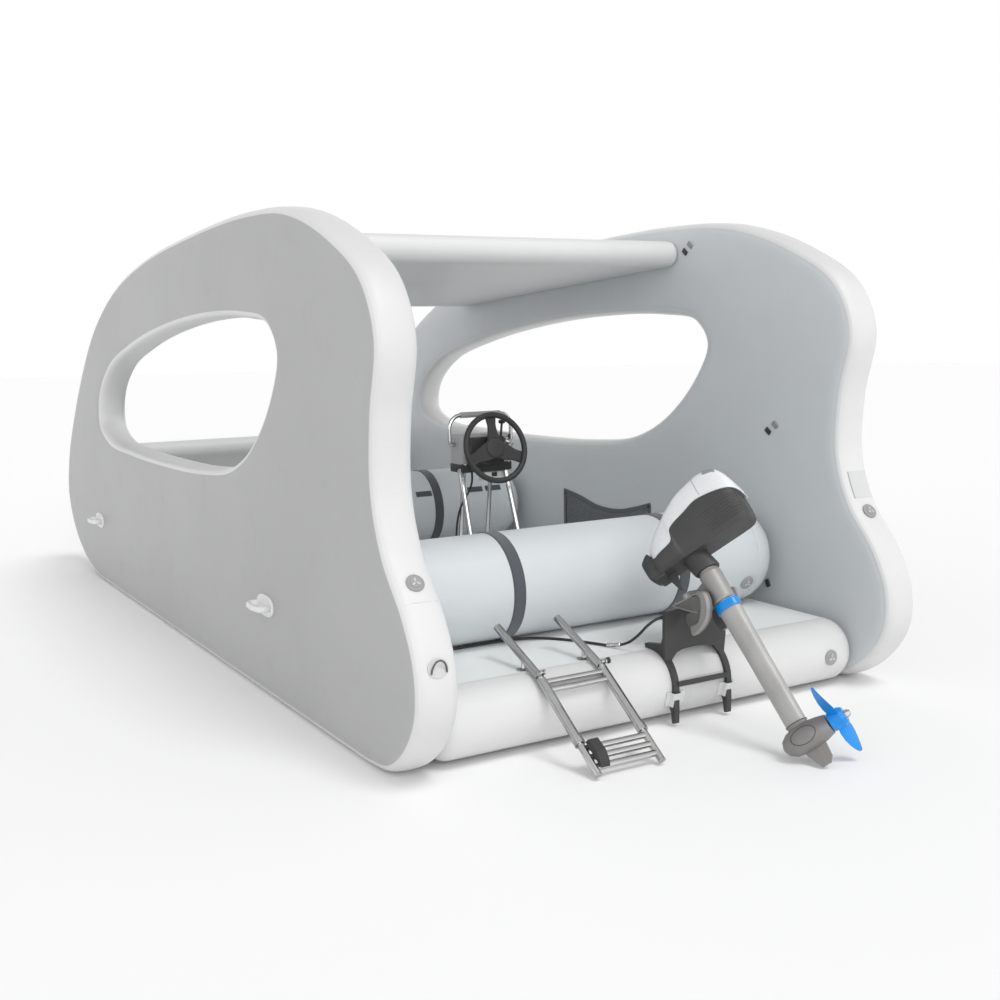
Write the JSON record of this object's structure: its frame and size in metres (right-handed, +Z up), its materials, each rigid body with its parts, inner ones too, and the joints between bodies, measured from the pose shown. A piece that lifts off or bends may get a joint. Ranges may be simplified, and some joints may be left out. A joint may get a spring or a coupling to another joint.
{
  "type": "inflatable houseboat",
  "caption": "Small inflatable houseboat: side walls with window openings, roof panel, deck, bench tubes, helm console, tilted electric outboard and folding boarding ladder.",
  "frame": {"origin": "on the ground under the middle of the boat's length, with the motor and ladder counted", "axes": "+X to starboard, +Y to the bow, +Z up"},
  "size_m": [2.2752, 5.3136, 1.86],
  "materials": {
    "wall_fabric": "light grey coated fabric, satin",
    "deck_fabric": "pale grey textured coated fabric",
    "bench_fabric": "pale grey coated fabric",
    "dark_webbing": "dark woven webbing",
    "white_plastic": "white moulded plastic",
    "black_plastic": "black moulded plastic",
    "grey_plastic": "grey moulded plastic",
    "mesh_black": "black net",
    "black_metal": "black powder coat",
    "stainless": "polished stainless steel",
    "cast_metal": "cast aluminium",
    "anodised": "anodised aluminium",
    "cowl_white": "white moulded cover",
    "propeller_blue": "blue moulded plastic"
  },
  "bodies": {
    "hull": {"port_wall": "wall_fabric", "starboard_wall": "wall_fabric", "deck": "deck_fabric", "roof": "wall_fabric", "bow_panel": "wall_fabric", "aft_bench": "bench_fabric", "forward_bench": "bench_fabric", "aft_bench_strap_port": "dark_webbing", "aft_bench_strap_starboard": "dark_webbing", "forward_bench_strap_port": "dark_webbing", "forward_bench_strap_starboard": "dark_webbing", "console_frame": "stainless", "console_box": "white_plastic", "console_handrail": "stainless", "helm_unit": "black_plastic", "motor_bracket": "black_metal", "motor_clamp": "cast_metal", "ladder_handle_port": "stainless", "ladder_handle_starboard": "stainless", "port_bow_cleat": "white_plastic", "port_stern_cleat": "white_plastic", "starboard_bow_cleat": "white_plastic", "starboard_stern_cleat": "white_plastic", "port_wall_valve": "grey_plastic", "starboard_wall_valve": "grey_plastic", "deck_valve": "grey_plastic", "aft_bench_valve": "grey_plastic", "port_tow_ring": "stainless", "net_pocket": "mesh_black", "steering_cable": "black_plastic"},
    "helm_wheel": {"steering_shaft": "stainless", "steering_wheel": "black_plastic"},
    "motor_swivel": {"motor_swivel": "cast_metal"},
    "motor": {"motor_leg": "anodised", "motor_collar": "propeller_blue", "motor_battery": "black_plastic", "motor_cowl": "cowl_white", "motor_pod": "anodised"},
    "propeller": {"propeller": "propeller_blue", "propeller_nut": "stainless"},
    "ladder": {"ladder_rails": "stainless", "ladder_foot": "stainless", "ladder_latch": "black_plastic"}
  },
  "joints": [
    {"name": "helm_turn", "type": "hinge", "parent": "hull", "child": "helm_wheel", "pos_m": [0.183, -0.51518, 0.868], "axis": [0, -0.9659, 0.2588], "range_deg": [-450, 450]},
    {"name": "motor_tilt", "type": "hinge", "parent": "hull", "child": "motor_swivel", "pos_m": [0.135, -2.02518, 0.462], "axis": [1, 0, 0], "range_deg": [0, 45.5]},
    {"name": "motor_steer", "type": "hinge", "parent": "motor_swivel", "child": "motor", "pos_m": [0.135, -2.09107, 0.52905], "axis": [0, 0.7133, 0.7009], "range_deg": [-80, 10]},
    {"name": "propeller_spin", "type": "hinge", "parent": "motor", "child": "propeller", "pos_m": [0.135, -2.54826, 0.07976], "axis": [0.5736, -0.5742, 0.5843], "continuous": true},
    {"name": "ladder_fold", "type": "hinge", "parent": "hull", "child": "ladder", "pos_m": [-0.395, -1.99898, 0.2742], "axis": [-1, 0, 0], "range_deg": [0, 115]}
  ]
}
